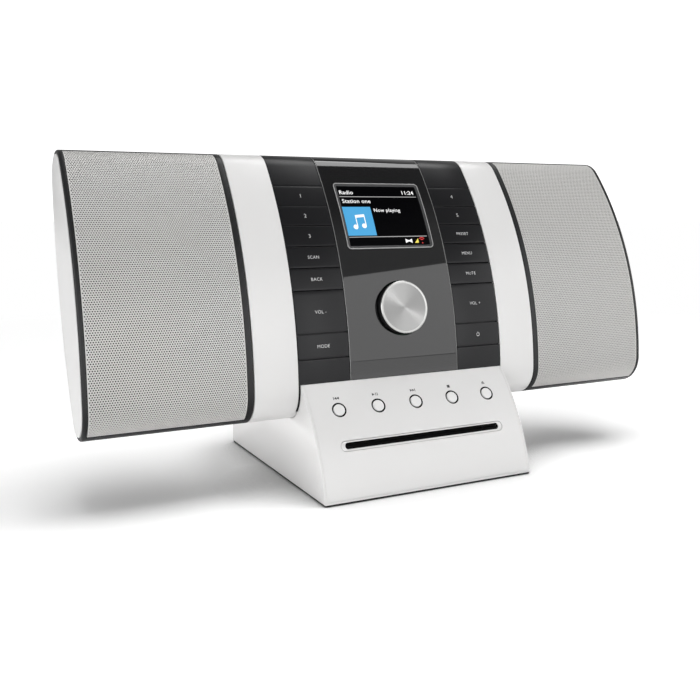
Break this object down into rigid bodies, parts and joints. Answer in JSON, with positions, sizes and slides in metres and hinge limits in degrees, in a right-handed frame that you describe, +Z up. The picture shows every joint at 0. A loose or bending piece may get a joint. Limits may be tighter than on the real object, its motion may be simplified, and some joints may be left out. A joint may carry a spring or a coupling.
{
  "type": "mini hifi system",
  "caption": "Mini hifi with a lens-section body, a speaker at each end, key columns, display and knob, on a wedge base with a slot-in CD player.",
  "frame": {"origin": "on the floor, under the middle of the object's box", "axes": "+X along the width to the right of a listener who faces it, +Y from its front to its back, +Z up"},
  "size_m": [0.45, 0.1872, 0.2319],
  "materials": {
    "white_plastic": "white, glossy",
    "white_button": "white, satin",
    "black_plastic": "black, satin",
    "black_key": "black, satin",
    "gloss_panel": "piano black, polished",
    "display_window": "smoked clear window, polished",
    "inner_plastic": "moulded, plain",
    "grille_metal": "silver paint over perforated steel",
    "spun_aluminium": "spun face, polished chamfer",
    "foot_rubber": "matt",
    "roller_rubber": "matt",
    "cone_paper": "coated",
    "circuit_board": "green solder mask",
    "steel": "zinc plated"
  },
  "bodies": {
    "root": {"base_plate": "black_plastic", "base_shell": "white_plastic", "cd_button_board": "circuit_board", "cd_chassis": "steel", "cd_guide_rod": "steel", "cd_spindle_motor": "steel", "centre_panel": "gloss_panel", "display_lens": "display_window", "display_module": "inner_plastic", "encoder_body": "steel", "foot_front_left": "foot_rubber", "foot_front_right": "foot_rubber", "foot_rear_left": "foot_rubber", "foot_rear_right": "foot_rubber", "front_housing": "white_plastic", "jack_panel": "black_plastic", "key_board": "circuit_board", "left_driver_frame": "steel", "left_end_cap": "white_plastic", "left_grille": "grille_metal", "left_key_frame": "black_plastic", "left_speaker_enclosure": "black_plastic", "main_board": "circuit_board", "rear_housing": "white_plastic", "right_driver_frame": "steel", "right_end_cap": "white_plastic", "right_grille": "grille_metal", "right_key_frame": "black_plastic", "right_speaker_enclosure": "black_plastic", "slot_bezel": "white_plastic"},
    "key_1": {"key_1": "black_key"},
    "key_2": {"key_2": "black_key"},
    "key_3": {"key_3": "black_key"},
    "key_scan": {"key_scan": "black_key"},
    "key_back": {"key_back": "black_key"},
    "key_volume_down": {"key_volume_down": "black_key"},
    "key_mode": {"key_mode": "black_key"},
    "key_4": {"key_4": "black_key"},
    "key_5": {"key_5": "black_key"},
    "key_preset": {"key_preset": "black_key"},
    "key_menu": {"key_menu": "black_key"},
    "key_mute": {"key_mute": "black_key"},
    "key_volume_up": {"key_volume_up": "black_key"},
    "key_power": {"key_power": "black_key"},
    "button_previous": {"button_previous": "white_button"},
    "button_play_pause": {"button_play_pause": "white_button"},
    "button_next": {"button_next": "white_button"},
    "button_stop": {"button_stop": "white_button"},
    "button_eject": {"button_eject": "white_button"},
    "encoder_rotor": {"encoder_rotor": "steel"},
    "knob": {"knob_cap": "spun_aluminium", "knob_skirt": "black_plastic", "encoder_shaft": "steel"},
    "cd_turntable": {"cd_turntable": "inner_plastic"},
    "cd_feed_roller": {"cd_feed_roller": "roller_rubber"},
    "cd_pickup": {"cd_pickup": "inner_plastic"},
    "cd_lead_screw": {"cd_lead_screw": "steel"},
    "left_driver_cone": {"left_driver_cone": "cone_paper"},
    "right_driver_cone": {"right_driver_cone": "cone_paper"}
  },
  "joints": [
    {"name": "key_1_press", "type": "slide", "parent": "root", "child": "key_1", "axis": [0, 0.8348, -0.5505], "range_m": [0, 0.0008], "stiffness_N_per_m": 800, "springref_m": -0.0005},
    {"name": "key_2_press", "type": "slide", "parent": "root", "child": "key_2", "axis": [0, 0.8694, -0.4942], "range_m": [0, 0.0008], "stiffness_N_per_m": 800, "springref_m": -0.0005},
    {"name": "key_3_press", "type": "slide", "parent": "root", "child": "key_3", "axis": [0, 0.899, -0.438], "range_m": [0, 0.0008], "stiffness_N_per_m": 800, "springref_m": -0.0005},
    {"name": "key_scan_press", "type": "slide", "parent": "root", "child": "key_scan", "axis": [0, 0.925, -0.3799], "range_m": [0, 0.0008], "stiffness_N_per_m": 800, "springref_m": -0.0005},
    {"name": "key_back_press", "type": "slide", "parent": "root", "child": "key_back", "axis": [0, 0.9474, -0.32], "range_m": [0, 0.0008], "stiffness_N_per_m": 800, "springref_m": -0.0005},
    {"name": "key_volume_down_press", "type": "slide", "parent": "root", "child": "key_volume_down", "axis": [0, 0.9728, -0.2317], "range_m": [0, 0.0008], "stiffness_N_per_m": 800, "springref_m": -0.0005},
    {"name": "key_mode_press", "type": "slide", "parent": "root", "child": "key_mode", "axis": [0, 0.9903, -0.1389], "range_m": [0, 0.0008], "stiffness_N_per_m": 800, "springref_m": -0.0005},
    {"name": "key_4_press", "type": "slide", "parent": "root", "child": "key_4", "axis": [0, 0.8348, -0.5505], "range_m": [0, 0.0008], "stiffness_N_per_m": 800, "springref_m": -0.0005},
    {"name": "key_5_press", "type": "slide", "parent": "root", "child": "key_5", "axis": [0, 0.8694, -0.4942], "range_m": [0, 0.0008], "stiffness_N_per_m": 800, "springref_m": -0.0005},
    {"name": "key_preset_press", "type": "slide", "parent": "root", "child": "key_preset", "axis": [0, 0.899, -0.438], "range_m": [0, 0.0008], "stiffness_N_per_m": 800, "springref_m": -0.0005},
    {"name": "key_menu_press", "type": "slide", "parent": "root", "child": "key_menu", "axis": [0, 0.925, -0.3799], "range_m": [0, 0.0008], "stiffness_N_per_m": 800, "springref_m": -0.0005},
    {"name": "key_mute_press", "type": "slide", "parent": "root", "child": "key_mute", "axis": [0, 0.9474, -0.32], "range_m": [0, 0.0008], "stiffness_N_per_m": 800, "springref_m": -0.0005},
    {"name": "key_volume_up_press", "type": "slide", "parent": "root", "child": "key_volume_up", "axis": [0, 0.9728, -0.2317], "range_m": [0, 0.0008], "stiffness_N_per_m": 800, "springref_m": -0.0005},
    {"name": "key_power_press", "type": "slide", "parent": "root", "child": "key_power", "axis": [0, 0.9903, -0.1389], "range_m": [0, 0.0008], "stiffness_N_per_m": 800, "springref_m": -0.0005},
    {"name": "button_previous_press", "type": "slide", "parent": "root", "child": "button_previous", "axis": [0, 0.8131, -0.5821], "range_m": [0, 0.001], "stiffness_N_per_m": 800, "springref_m": -0.0005},
    {"name": "button_play_pause_press", "type": "slide", "parent": "root", "child": "button_play_pause", "axis": [0, 0.8131, -0.5821], "range_m": [0, 0.001], "stiffness_N_per_m": 800, "springref_m": -0.0005},
    {"name": "button_next_press", "type": "slide", "parent": "root", "child": "button_next", "axis": [0, 0.8131, -0.5821], "range_m": [0, 0.001], "stiffness_N_per_m": 800, "springref_m": -0.0005},
    {"name": "button_stop_press", "type": "slide", "parent": "root", "child": "button_stop", "axis": [0, 0.8131, -0.5821], "range_m": [0, 0.001], "stiffness_N_per_m": 800, "springref_m": -0.0005},
    {"name": "button_eject_press", "type": "slide", "parent": "root", "child": "button_eject", "axis": [0, 0.8131, -0.5821], "range_m": [0, 0.001], "stiffness_N_per_m": 800, "springref_m": -0.0005},
    {"name": "knob_turn", "type": "hinge", "parent": "root", "child": "encoder_rotor", "pos_m": [0, -0.04679, 0.12183], "axis": [0, -0.9732, 0.2299], "continuous": true},
    {"name": "knob_press", "type": "slide", "parent": "encoder_rotor", "child": "knob", "axis": [0, 0.9732, -0.2299], "range_m": [0, 0.0006], "stiffness_N_per_m": 1200, "springref_m": -0.0005},
    {"name": "cd_turntable_spin", "type": "hinge", "parent": "root", "child": "cd_turntable", "pos_m": [0, -0.016, 0.029], "axis": [0, 0, 1], "continuous": true},
    {"name": "cd_feed_roller_turn", "type": "hinge", "parent": "root", "child": "cd_feed_roller", "pos_m": [0, -0.068, 0.029], "axis": [1, 0, 0], "continuous": true},
    {"name": "cd_pickup_slide", "type": "slide", "parent": "root", "child": "cd_pickup", "axis": [0, 1, 0], "range_m": [0, 0.034]},
    {"name": "cd_lead_screw_turn", "type": "hinge", "parent": "root", "child": "cd_lead_screw", "pos_m": [0.024, 0, 0.021], "axis": [0, 1, 0], "range_deg": [0, 4200]},
    {"name": "left_cone_stroke", "type": "slide", "parent": "root", "child": "left_driver_cone", "axis": [0, -0.9466, 0.3223], "range_m": [-0.002, 0.002], "stiffness_N_per_m": 1000},
    {"name": "right_cone_stroke", "type": "slide", "parent": "root", "child": "right_driver_cone", "axis": [0, -0.9466, 0.3223], "range_m": [-0.002, 0.002], "stiffness_N_per_m": 1000}
  ],
  "couplings": [
    {"joint": "cd_lead_screw_turn", "follows": "cd_pickup_slide", "rad_per_m": 2094.4}
  ]
}
